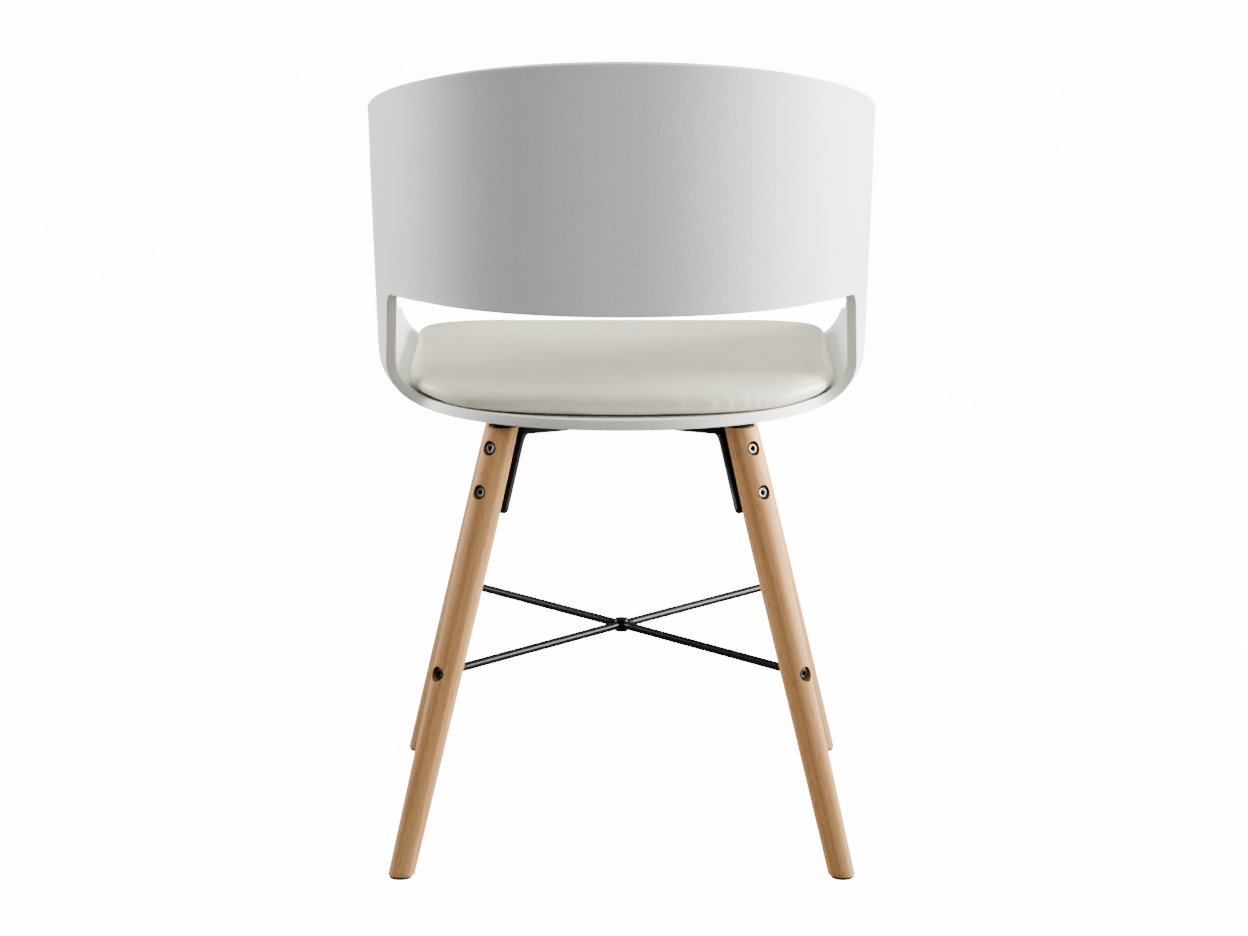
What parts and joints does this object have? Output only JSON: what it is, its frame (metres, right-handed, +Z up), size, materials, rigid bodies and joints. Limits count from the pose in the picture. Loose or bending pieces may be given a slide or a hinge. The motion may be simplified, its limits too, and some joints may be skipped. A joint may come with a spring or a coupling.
{
  "type": "dining chair",
  "caption": "Dining chair with a moulded tub shell open at the small of the back, a thin padded seat, splayed round wooden legs on black brackets and a crossed rod brace.",
  "frame": {"origin": "on the floor under the middle of the chair's overall footprint", "axes": "+Z up, the seat opens towards -Y and the back is at +Y, +X is the sitter's left"},
  "size_m": [0.4914, 0.4956, 0.7736],
  "materials": {
    "shell": "matte, fine leather-like grain",
    "cushion": "smooth coated leather-look cover, soft sheen",
    "foam": "open-cell foam pad, hidden",
    "board": "raw plywood, hidden",
    "beech": "clear matt lacquered beech",
    "black_metal": "black, satin to gloss",
    "bolt_steel": "dark nickel",
    "zinc_steel": "bright zinc",
    "glide": "dark, matte"
  },
  "bodies": {
    "root": {"seat_shell": "shell", "cushion_cover": "cushion", "cushion_foam": "foam", "cushion_board": "board", "cushion_screw_1": "zinc_steel", "cushion_screw_2": "zinc_steel", "cushion_screw_3": "zinc_steel", "cushion_screw_4": "zinc_steel", "leg_rear_left": "beech", "leg_bolt_rear_left_1": "bolt_steel", "leg_bolt_rear_left_2": "bolt_steel", "bracket_rear_left": "black_metal", "bracket_screw_rear_left_1": "zinc_steel", "bracket_screw_rear_left_2": "zinc_steel", "bracket_screw_rear_left_3": "zinc_steel", "glide_rear_left": "glide", "glide_nail_rear_left": "zinc_steel", "brace_rod_rear_left": "black_metal", "brace_screw_rear_left": "bolt_steel", "leg_rear_right": "beech", "leg_bolt_rear_right_1": "bolt_steel", "leg_bolt_rear_right_2": "bolt_steel", "bracket_rear_right": "black_metal", "bracket_screw_rear_right_1": "zinc_steel", "bracket_screw_rear_right_2": "zinc_steel", "bracket_screw_rear_right_3": "zinc_steel", "glide_rear_right": "glide", "glide_nail_rear_right": "zinc_steel", "brace_rod_rear_right": "black_metal", "brace_screw_rear_right": "bolt_steel", "leg_front_left": "beech", "leg_bolt_front_left_1": "bolt_steel", "leg_bolt_front_left_2": "bolt_steel", "bracket_front_left": "black_metal", "bracket_screw_front_left_1": "zinc_steel", "bracket_screw_front_left_2": "zinc_steel", "bracket_screw_front_left_3": "zinc_steel", "glide_front_left": "glide", "glide_nail_front_left": "zinc_steel", "brace_rod_front_left": "black_metal", "brace_screw_front_left": "bolt_steel", "leg_front_right": "beech", "leg_bolt_front_right_1": "bolt_steel", "leg_bolt_front_right_2": "bolt_steel", "bracket_front_right": "black_metal", "bracket_screw_front_right_1": "zinc_steel", "bracket_screw_front_right_2": "zinc_steel", "bracket_screw_front_right_3": "zinc_steel", "glide_front_right": "glide", "glide_nail_front_right": "zinc_steel", "brace_rod_front_right": "black_metal", "brace_screw_front_right": "bolt_steel", "brace_hub": "black_metal"}
  },
  "joints": []
}
